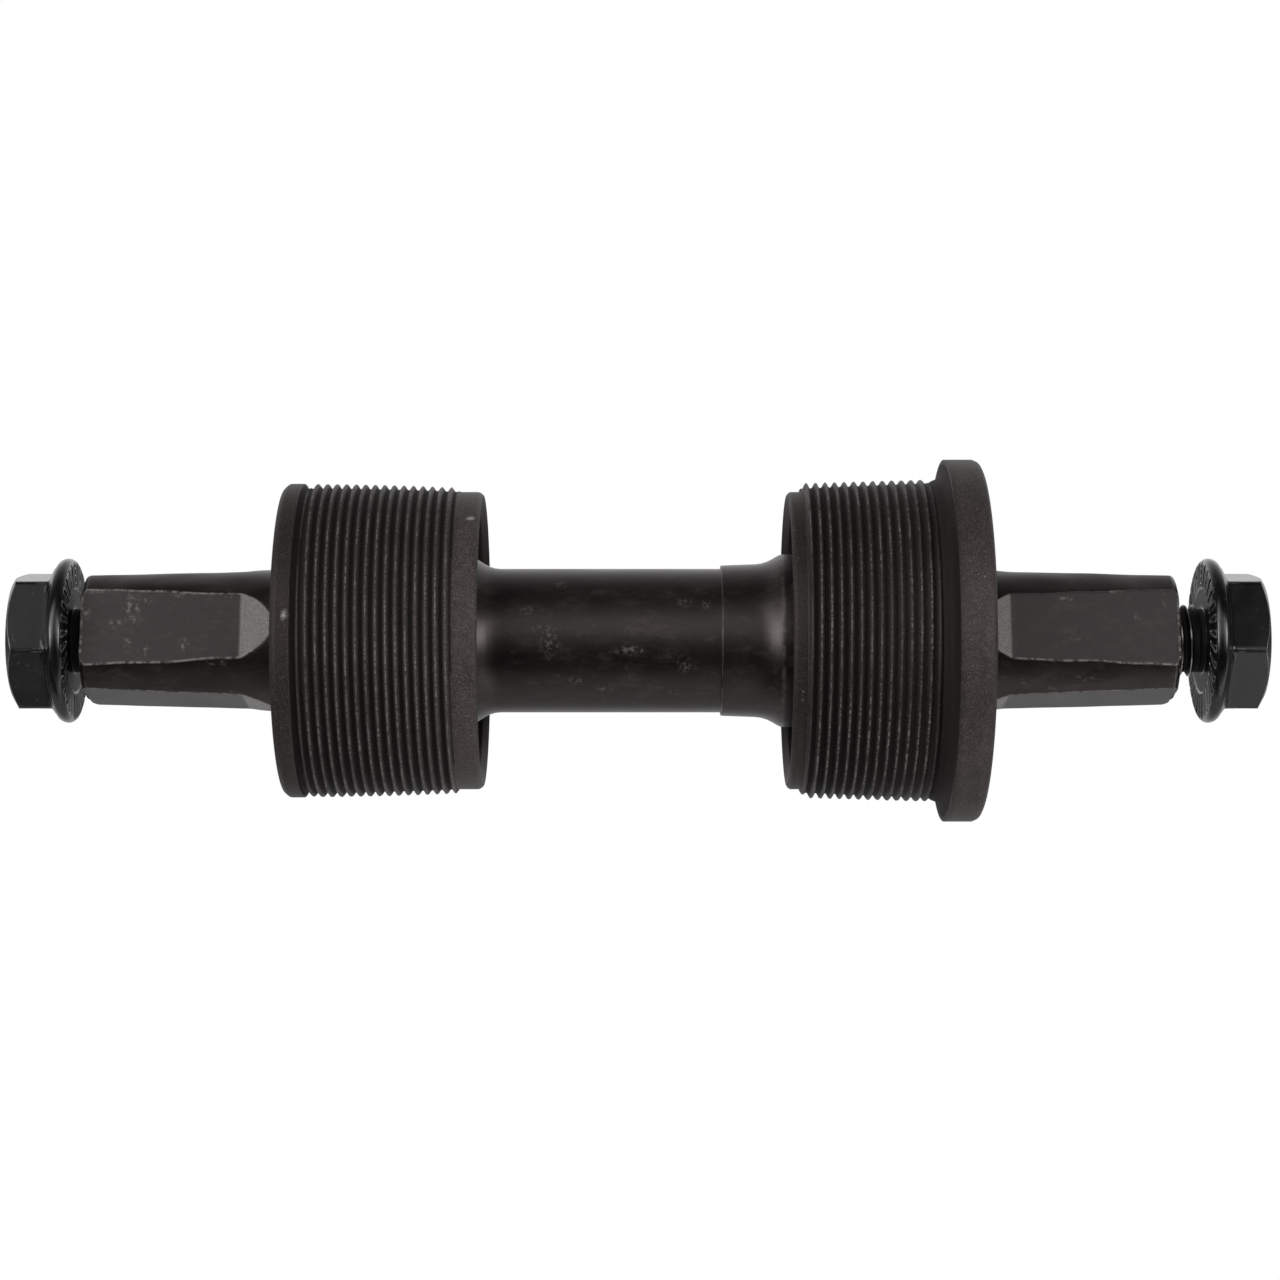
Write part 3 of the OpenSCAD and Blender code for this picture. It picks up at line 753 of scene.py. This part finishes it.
def spindle_end(end, inwards, race_out):
    """The outline of one end, from its bolt hole to the bearing seat."""
    return [(end + inwards, hole_r, 0), (end, hole_r + 1, 0.08), (end, end_face_r, 0.08),
            (end + inwards * end_chamfer, stub_end_r, 0.2),
            (end + inwards * (flat_len + ramp_len), stub_r, 0.3),
            (race_out - inwards * 1.9, stub_r, 0.2), (race_out - inwards * 1.2, seat_r, 0.2)]


def make_spindle():
    """The outline runs from the left hole over the outside to the right hole."""
    left_end = spindle_end(spindle_left, 1, left_race_out)
    middle = [(left_race_in, seat_r, 0), (left_race_in, shoulder_r, 0.25),
              (left_race_in + 5.3, shoulder_r, 0.3), (left_flare_end - 0.85, shaft_r, 0.95),
              (step_from, shaft_r, 0.05), (step_from + 0.04, step_r, 0.12),
              (drive_flare_start, step_end_r, 1.0), (drive_race_in - 2.5, shoulder_r, 0.35),
              (drive_race_in, shoulder_r, 0.25), (drive_race_in, seat_r, 0)]
    right_end = spindle_end(spindle_right, -1, drive_race_out)[::-1]
    bm = bmesh.new()
    turn(bm, divided(rounded(left_end + middle + right_end), row_gap), SPINDLE_STEPS)
    reshape(bm.verts, press_flats)
    for end, inwards in ((spindle_left, 1), (spindle_right, -1)):
        turn(bm, rounded(bolt_hole(end, inwards)), SPINDLE_STEPS)
        stretch = sorted((end + inwards, end + inwards * hole_thread_len))
        wind_thread(bm, stretch, stretch[0], bolt_pitch, 1, lambda x: hole_r,
                    lambda x, angle: hole_r + hole_thread_deep, SPINDLE_STEPS, COARSE_SHAPE)
    mark(bm, "cut", freshly_cut)
    mark(bm, "scuff", scuffed)
    finish_piece(bm, "spindle_forging", "spindle", "oxide_spindle", "spindle", wear=(6, 22))


make_spindle()


# %% [markdown]
# ## Cups
# Both cups are moulded, with a bearing pressed in from one side and a socket in the other, where
# twenty splines take the fitting tool. The left cup has a plain lip and a right-handed thread.
# The drive cup has a flange and a left-handed thread, so that riding doesn't unscrew it. The
# moulded crests are rough, so each is jittered a little, and they are lower where the halves of
# the mould met.

# %% Cup sizes
CUP_STEPS = 320
SPLINES = 20
thread_pitch = 1.046  # the crests lie a little closer than the nominal 1.058
left_crest_at, drive_crest_at = -30.17, 22.35  # where a crest crosses the top
bore_r, shoulder_hole_r, band_r = 15.03, 13.5, 16.35
spline_tip_r, spline_root_r = 14.9, 15.95
left_socket_deep, drive_socket_deep = 5.8, 10.3
lip_wide, lip_r, flange_thick = 2.1, 17.25, 3.8
parting = math.radians(35.5)  # where the halves of the mould met
left_face, left_inner = ends("left_cup")
drive_inner, drive_face = ends("drive_cup")
flange_r = reach("drive_cup")
print("left cup", left_face, left_inner, "drive cup", drive_inner, drive_face, "flange", flange_r)


# %% Crests, splines and sockets
NICKS = ((-15, 37), (-34.1, 81))  # places along the axis, and degrees from the top to the front


def roughened(radius, depth):
    """A crest radius that wanders a little and drops where the mould parted."""
    seam_wide = 0.35
    circle = 34  # twice the cup's radius, so that the noise changes every half millimetre

    def crest(x, angle):
        away = abs(off_centre(angle, parting, 2)) * radius(x)
        seam = 0.35 * depth * max(0, 1 - away / seam_wide)
        where = Vector((x * 2.5, circle * math.sin(angle), circle * math.cos(angle)))
        return radius(x) - seam + 0.06 * noise.noise(where)

    return crest


def press_splines(face, floor):
    """A rule that cuts the tool's grooves between a cup's face and the floor of its socket."""
    low, high = sorted((face, floor))
    step = math.tau / CUP_STEPS
    # Where the columns of vertices lie from a groove's middle, and where they are slid to
    bends = ((0, 0), (4 * step, math.radians(4.35)), (5 * step, math.radians(4.7)),
             (8 * step, 8 * step))

    def rule(x, r, angle):
        if not low - 0.01 <= x <= high + 0.01 or not spline_tip_r - 0.3 < r < spline_tip_r + 0.3:
            return x, r, angle
        aside = off_centre(angle, math.pi / SPLINES, SPLINES)
        r += spline_root_r - spline_tip_r if abs(aside) < 4.5 * step else 0
        for (from_a, to_a), (from_b, to_b) in zip(bends, bends[1:]):
            if from_a - 1e-6 <= abs(aside) <= from_b + 1e-6:
                moved = to_a + (abs(aside) - from_a) / (from_b - from_a) * (to_b - to_a)
        return x, r, angle + math.copysign(moved, aside) - aside

    return rule


def cup_inside(face, floor, side, mouth):
    """The outline inside a cup, from the edge of its face to its mouth at the bearing end."""
    seat = floor - side * 2
    return [(face, spline_tip_r + 0.25, 0), (face - side * 0.25, spline_tip_r, 0.05),
            (floor, spline_tip_r, 0), (floor, shoulder_hole_r, 0.15), (seat, shoulder_hole_r, 0.15),
            (seat, bore_r, 0), (mouth + side * 0.7, bore_r, 0.1), (mouth, bore_r + 0.7, 0.08)]


def nick(x, r, angle):
    """The pale nicks on the left cup's inner band and on its lip."""
    outside_r = 16.5
    away = min(math.hypot(x - at, outside_r * (angle - math.radians(turned)))
               for at, turned in NICKS)
    return portion(away, 0.45, 0.2)


def make_cup(name, node, outer, inner, stretch, crest_at, hand, root, crest, dusty, groove):
    """A cup from its outline outside the thread, its outline inside, and its thread. From x, one
    function gives how much paler the outside is with dust and painted light, and the last gives
    the painted shade stored in the neck beside the thread."""
    bm = bmesh.new()
    outline = divided(rounded(outer + inner), lambda x: 0.6)
    turn(bm, outline, CUP_STEPS)
    floor = inner[2][0]
    reshape(bm.verts, press_splines(inner[0][0], floor))
    depth = crest(stretch[0]) - root(stretch[0])
    wind_thread(bm, stretch, crest_at, thread_pitch, hand, root, roughened(crest, depth), CUP_STEPS)

    def threaded(x, r):
        return stretch[0] + 0.3 < x < stretch[1] - 0.2 and r > root(x) - 0.1

    mark(bm, "threaded", lambda x, r, angle: 1 if threaded(x, r) else 0)
    # Beside the thread this stores a painted shade rather than a depth.
    mark(bm, "sunk", lambda x, r, angle:
         portion(crest(x) - r, 0, depth) if threaded(x, r) else groove(x, r))
    mark(bm, "dusty", lambda x, r, angle: dusty(x) * portion(r, 15.6, 16.2))
    mark(bm, "nick", nick)
    finish_piece(bm, name, node, "moulded_cup", node, sharp=62)


# %% Left cup
def make_left_cup():
    """A plain lip at the left, then the thread, which shrinks towards the inner band."""
    lip = left_face + lip_wide
    stretch = (lip + 0.5, left_inner - 2.5)

    def along(x):
        return (x - stretch[0]) / (stretch[1] - stretch[0])

    def crest(x):
        return 17.2 - 0.42 * along(x) ** 2

    def root(x):
        return 16.72 - 0.37 * along(x) ** 2

    # Paler towards the inner band, partly with dust and partly as painted light from the right.
    def dusty(x):
        return 0.25 + 0.4 * along(x) + 0.45 * portion(x, stretch[1] - 0.3, stretch[1])

    # Painted shade in the neck between the lip and the thread.
    def groove(x, r):
        return 0.8 if lip - 0.1 < x < stretch[0] + 0.2 and 16 < r < 16.9 else 0

    outer = [(stretch[0], root(stretch[0]), 0), (lip, root(stretch[0]), 0.1), (lip, lip_r, 0.1),
             (left_face + 0.55, lip_r, 0.2), (left_face, lip_r - 0.5, 0.15)]
    inner = cup_inside(left_face, left_face + left_socket_deep, -1, left_inner)
    band = [(left_inner, band_r - 0.35, 0.12), (left_inner - 0.4, band_r, 0.25),
            (stretch[1], root(stretch[1]), 0)]
    make_cup("left_cup_shell", "left_cup", outer, inner + band, stretch, left_crest_at, 1,
             root, crest, dusty, groove)


make_left_cup()


# %% Drive cup
def make_drive_cup():
    """An inner band at the left, then the thread, a neck and the flange."""
    shelf = drive_face - flange_thick
    stretch = (drive_inner + 1.5, shelf - 1.7)

    def along(x):
        return (x - stretch[0]) / (stretch[1] - stretch[0])

    def crest(x):
        return 17.3 + 0.4 * along(x)

    def root(x):
        return 16.72 + 0.6 * along(x)

    # Paler on the flange, partly with dust and partly as painted light.
    def dusty(x):
        thread = 0.12 * portion(x, stretch[0], stretch[0] + 2)
        return 0.2 - thread + 0.8 * portion(x, shelf - 0.12, shelf)

    # Painted shade in the neck between the thread and the flange.
    def groove(x, r):
        return 0.8 if stretch[1] - 0.2 < x < shelf - 0.12 and 17.2 < r < 19.6 else 0

    outer = [(stretch[1], root(stretch[1]), 0), (shelf - 1.4, 17.58, 0.2),
             (shelf - 0.85, 17.75, 0.3), (shelf - 0.5, 18.2, 0.3), (shelf - 0.25, 18.9, 0.4),
             (shelf - 0.15, flange_r - 0.04, 0.05), (shelf - 0.1, flange_r, 0.04),
             (drive_face - 0.9, flange_r, 0), (drive_face - 0.3, flange_r - 0.25, 0.25),
             (drive_face, flange_r - 0.9, 0.25)]
    inner = cup_inside(drive_face, drive_face - drive_socket_deep, 1, drive_inner)
    band = [(drive_inner, band_r - 0.3, 0.1), (drive_inner + 0.3, band_r, 0.15),
            (stretch[0], band_r, 0.05), (stretch[0], root(stretch[0]), 0)]
    make_cup("drive_cup_shell", "drive_cup", outer, inner + band, stretch, drive_crest_at, -1,
             root, crest, dusty, groove)


make_drive_cup()


# %% [markdown]
# ## Bearings
# The races and seals are turned rings. Their corners are broken by a fraction of a millimetre,
# as grinding leaves them. The balls, cage halves and rivets keep the shapes they came with, and
# only get their steel.

# %% Races and seals
RING_STEPS = 192
bearing_half = (left_race_in - left_race_out) / 2  # of a bearing's width
ball_circle_r, ball_r = 11.75, 1.985
groove_r = ball_r + 0.05
inner_shoulder_r, outer_shoulder_r = 10.225, 13.275
seal_hole_r, seal_r = 9.775, 13.825
race_bore_r, race_outer_r = seat_r, reach("left_outer_race")
seal_seat, seal_thick = bearing_half - 0.75, 0.55
print("bearings", 2 * bearing_half, "wide, balls on a circle of", 2 * ball_circle_r)


def ball_groove(shoulder, outward):
    """Points of the groove that the balls run in, from one shoulder to the other."""
    half = math.acos((ball_circle_r - shoulder) * outward / groove_r)
    swings = [half * (2 * step / 12 - 1) for step in range(13)]
    return [(groove_r * math.sin(swing), ball_circle_r - outward * groove_r * math.cos(swing), 0)
            for swing in swings]


def inner_race_outline():
    """A step at each side leaves room for the seal's lip."""
    step = seal_hole_r - 0.1
    return [(-bearing_half, race_bore_r, 0.2), (-bearing_half, step, 0.1),
            (0.1 - seal_seat, step, 0), (0.1 - seal_seat, inner_shoulder_r, 0.06),
            *ball_groove(inner_shoulder_r, 1),
            (seal_seat - 0.1, inner_shoulder_r, 0.06), (seal_seat - 0.1, step, 0),
            (bearing_half, step, 0.1), (bearing_half, race_bore_r, 0.2)]


def outer_race_outline():
    """A wide groove at each side holds a seal."""
    return [(-bearing_half, race_outer_r, 0.3), (-bearing_half, seal_r, 0.08),
            (-seal_seat, seal_r, 0), (-seal_seat, outer_shoulder_r, 0.06),
            *ball_groove(outer_shoulder_r, -1),
            (seal_seat, outer_shoulder_r, 0.06), (seal_seat, seal_r, 0),
            (bearing_half, seal_r, 0.08), (bearing_half, race_outer_r, 0.3)]


def seal_outline(outwards):
    """A seal's outline with its moulded channel on the side that faces outwards."""
    face = seal_seat + seal_thick
    quarter = (seal_r - seal_hole_r) / 4
    corners = [(seal_seat, seal_hole_r, 0.05), (seal_seat, seal_r, 0.05), (face, seal_r, 0.12),
               (face, seal_r - quarter, 0.15), (face - 0.14, seal_r - quarter - 0.14, 0.15),
               (face - 0.14, seal_hole_r + quarter + 0.14, 0.15),
               (face, seal_hole_r + quarter, 0.15), (face, seal_hole_r, 0.12)]
    return [(outwards * x, r, soft) for x, r, soft in corners]


# %% Turn the rings
def make_ring(name, node, body, slot, corners, middle):
    """A closed ring: the outline starts and ends half way along its first side."""
    start = (Vector(corners[0][:2]) + Vector(corners[-1][:2])) / 2
    closed = [(*start, 0)] + corners + [(*start, 0)]
    bm = bmesh.new()
    turn(bm, rounded(closed), RING_STEPS)
    bmesh.ops.translate(bm, verts=bm.verts, vec=(middle, 0, 0))
    finish_piece(bm, name, body, slot, node)


def make_bearing(side, middle, outboard):
    """outboard is -1 where the bearing's outer side faces left, and 1 where it faces right."""
    make_ring(f"{side}_inner_ring", f"{side}_inner_race", "spindle", "race_steel",
              inner_race_outline(), middle)
    make_ring(f"{side}_outer_ring", f"{side}_outer_race", "drive_cup", "race_steel",
              outer_race_outline(), middle)
    for place, outwards in (("outboard", outboard), ("inboard", -outboard)):
        make_ring(f"{side}_{place}_shield", f"{side}_{place}_seal", "drive_cup", "seal_rubber",
                  seal_outline(outwards), middle)
    for node, slot in (("balls", "ball_steel"), ("cage_inboard", "cage_steel"),
                       ("cage_outboard", "cage_steel"), ("cage_rivets", "cage_steel")):
        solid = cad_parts[f"{side}_{node}"]
        solid.data.materials.clear()
        solid.data.materials.append(FINISHES[slot])


make_bearing("left", (left_race_out + left_race_in) / 2, -1)
make_bearing("drive", (drive_race_in + drive_race_out) / 2, 1)


# %% [markdown]
# ## Crank bolts
# A hexagon on a round flange, with slanting slots in the bearing face that bite the crank arm.
# The hexagon and its chamfer come from one spun outline: each vertex may lie no further out than
# the nearest flat. On the bearing face the columns of vertices are slanted like the slots, so
# that each slot's walls run straight along a column. A mirrored bolt would get a mirrored
# thread, so the left bolt's is wound the other way first and comes out right-handed.

# %% Bolt sizes
BOLT_STEPS = 336
SLOTS = 32
hex_half, head_high, head_top_r, corner_r = 7.0, 6.5, 6.6, 8.0
rim_r, rim_high, flange_high = 9.05, 1.5, 2.3
thread_r, thread_root_r, shank_len = 3.95, 3.45, 18
slot_from, slot_to, slot_deep = 5.9, 8.45, 0.3  # their radii and depth
slot_wide = 0.27  # of the way from one slot to the next
slot_slant = math.radians(16)
hex_turn = math.radians(7.5)
print("hexagon", 2 * hex_half, "across flats, flange", 2 * rim_r, "slots", SLOTS)


# %% Head, flange and slots
def slant_at(r):
    """How far a slot has leaned over, as an angle, by the time it reaches this radius."""
    r = min(max(r, slot_from), slot_to)
    return slot_slant - math.asin(slot_from * math.sin(slot_slant) / r)


def press_head(x, r, angle):
    """The hexagon above the flange, and the slots in the bearing face."""
    if x > flange_high - 0.35 and r > 0.5:
        aside = off_centre(angle, hex_turn, 6)
        flat = softer_min(hex_half / math.cos(aside), corner_r, 0.05)
        above = min(1, (x - flange_high + 0.35) / 0.35)
        r = r if r < flat else softer_min(r, flat + (1 - above) * (r - flat), 0.1)
        if x > flange_high + 0.2:
            r = softer_min(r, flat, 0.04)
    elif r > slot_from - 0.5:
        on_face = max(0, 1 - max(x, 0) / flange_high)
        column = (angle / math.tau * SLOTS) % 1
        if column < slot_wide and x < 0.25 and slot_from < r < slot_to + 0.2:
            x += slot_deep
        angle += slant_at(r) * on_face
    return x, r, angle


def bolt_outline():
    """From the flange's bearing face, which lies at 0, over the rim to the top of the head."""
    chamfer_at = head_high - (corner_r - head_top_r) * math.tan(math.radians(30))
    head = [(0.12, thread_r + 0.15, 0.05), (0.12, slot_from - 0.25, 0.05), (0, slot_from - 0.05, 0),
            (0, slot_to, 0.1), (0.12, rim_r - 0.3, 0.25), (0.5, rim_r - 0.02, 0.3),
            (rim_high * 0.65, rim_r, 0.3), (rim_high, rim_r - 0.25, 0.3),
            (rim_high + 0.25, rim_r - 0.7, 0.15),
            (flange_high - 0.25, hex_half + 1.05, 0.2), (flange_high, hex_half + 0.98, 0),
            (chamfer_at, corner_r, 0.05), (head_high, head_top_r, 0.12), (head_high, 3.6, 0.3),
            (head_high - 0.25, 3.2, 0.3), (head_high - 0.25, 0, 0)]
    return divided(rounded(head),
                   lambda x: 0.2 if x < 0.3 else 0.08 if x > chamfer_at - 0.2 else 0.3)


# %% Turn and thread the bolts
def make_bolt(name, node, face, outwards):
    """A bolt whose bearing face lies at face. outwards is -1 for the left bolt, else 1."""
    bm = bmesh.new()
    turn(bm, bolt_outline(), BOLT_STEPS)
    reshape(bm.verts, press_head)
    stretch = (-shank_len + 0.9, -0.4)
    neck = [(0.12, thread_r + 0.15, 0), (0.12, thread_root_r + 0.1, 0.1),
            (stretch[1], thread_root_r, 0)]
    tip = [(stretch[0], thread_root_r, 0), (-shank_len, thread_root_r - 0.6, 0.1),
           (-shank_len, 0, 0)]
    turn(bm, rounded(neck), BOLT_STEPS)
    turn(bm, rounded(tip), BOLT_STEPS)
    wind_thread(bm, stretch, -0.9, bolt_pitch, outwards, lambda x: thread_root_r,
                lambda x, angle: thread_r, BOLT_STEPS, COARSE_SHAPE)

    # Where the bolt's finish paints shade.
    def sunk(x, r, angle):
        """1 in the thread's roots and on the slots' floors, and a little where the face bends."""
        if x < 0.05:
            return portion(thread_r - r, 0, 0.3)
        if x > slot_deep + 0.1 or not slot_from < r < slot_to + 0.1:
            return 0
        return 0.12 + 0.88 * portion(x, 0.05, slot_deep)

    mark(bm, "sunk", sunk)
    if outwards < 0:
        bmesh.ops.scale(bm, verts=bm.verts, vec=(-1, 1, 1))
    bmesh.ops.translate(bm, verts=bm.verts, vec=(face, 0, 0))
    finish_piece(bm, name, node, "oxide_bolt", node, sharp=48, wear=(13, 40))


make_bolt("left_flange_bolt", "left_crank_bolt", ends("left_crank_bolt")[0] + head_high, -1)
make_bolt("drive_flange_bolt", "drive_crank_bolt", ends("drive_crank_bolt")[1] - head_high, 1)
